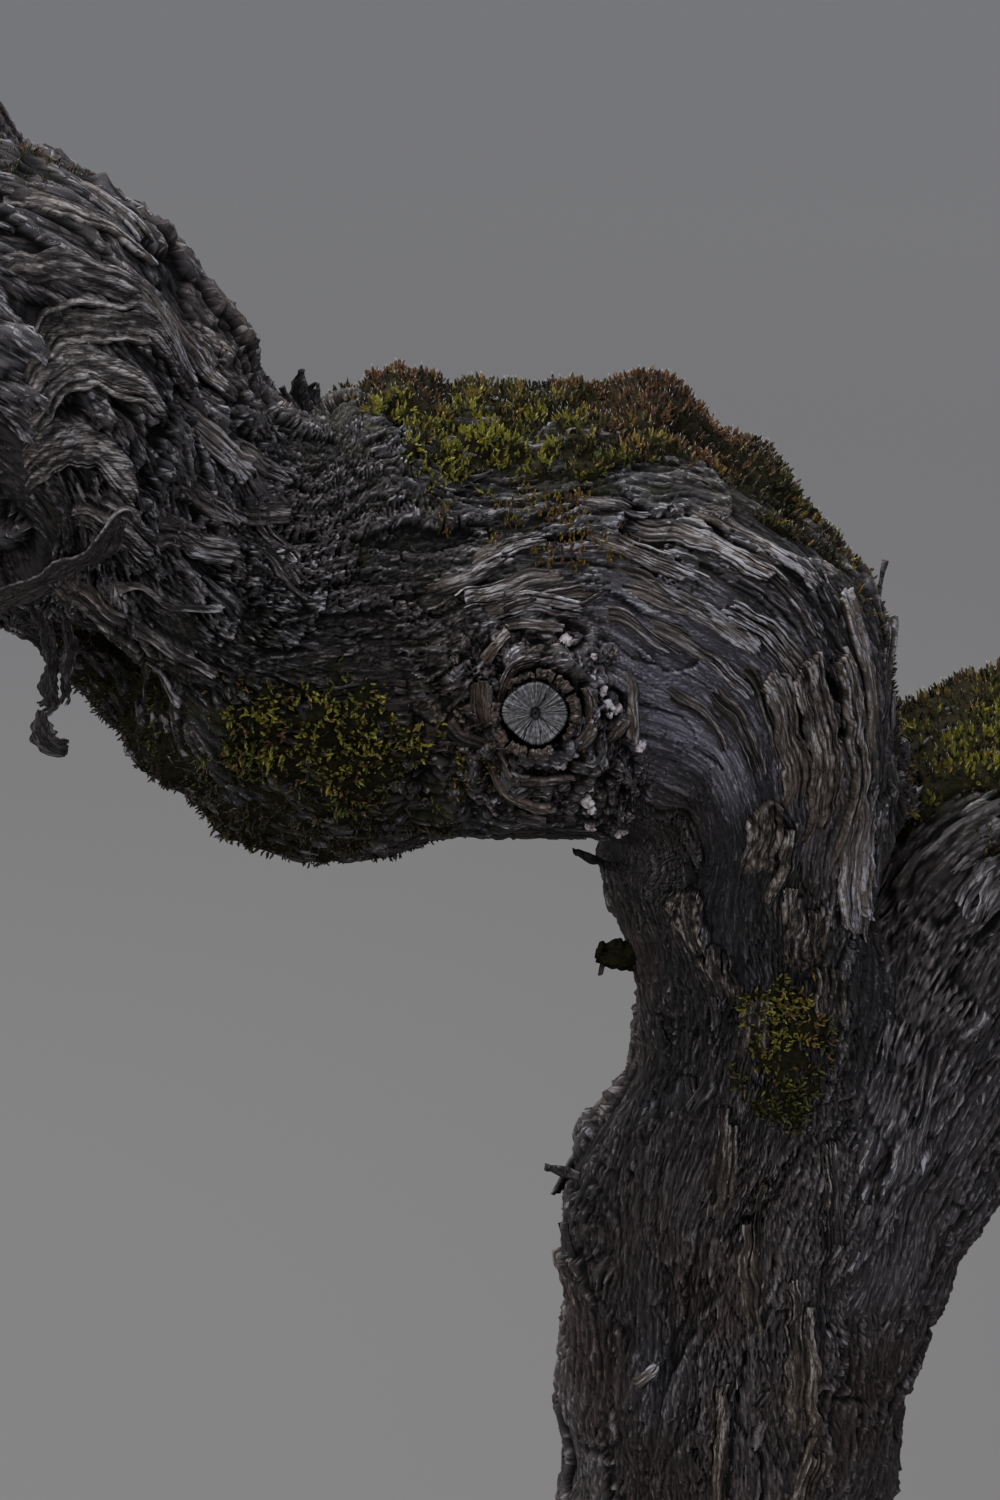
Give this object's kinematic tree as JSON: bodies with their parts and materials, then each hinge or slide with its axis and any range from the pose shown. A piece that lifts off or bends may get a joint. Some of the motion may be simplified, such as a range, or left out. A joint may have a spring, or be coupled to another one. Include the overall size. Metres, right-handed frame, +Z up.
{
  "type": "old grapevine trunk with two arms",
  "caption": "Old gnarled bush vine in winter: a leaning shaggy trunk forks into mossy arms with short pruned spurs, cut flat at ground level.",
  "frame": {"origin": "centre of the flat cut at ground level, under the trunk", "axes": "+Z up along the trunk, +X to the right arm, -Y to the front, where the pruning cut faces"},
  "size_m": [0.48, 0.216, 0.5925],
  "materials": {
    "bark": "rough dark shaggy bark, grey on the ridges",
    "cut_wood": "weathered grey end grain with radial cracks",
    "cane": "year-old red-brown cane on an old bark collar",
    "moss": "soft olive moss with brown-red tips"
  },
  "bodies": {
    "root": {"trunk": "bark", "left_arm_rise": "bark", "left_arm_elbow": "bark", "left_arm_reach": "bark", "left_arm_climb": "bark", "left_arm_head": "bark", "right_arm_rise": "bark", "right_arm_reach": "bark", "right_arm_head": "bark", "pruned_stub": "cut_wood", "left_spur_front": "cane", "left_spur_tip": "cane", "left_spur_back": "cane", "right_spur_top": "cane", "right_spur_tip": "cane", "right_spur_back": "cane", "moss_crest": "moss", "moss_shoulder": "moss", "moss_flank": "moss", "moss_belly": "moss", "moss_trunk": "moss", "moss_right_arm": "moss"}
  },
  "joints": []
}
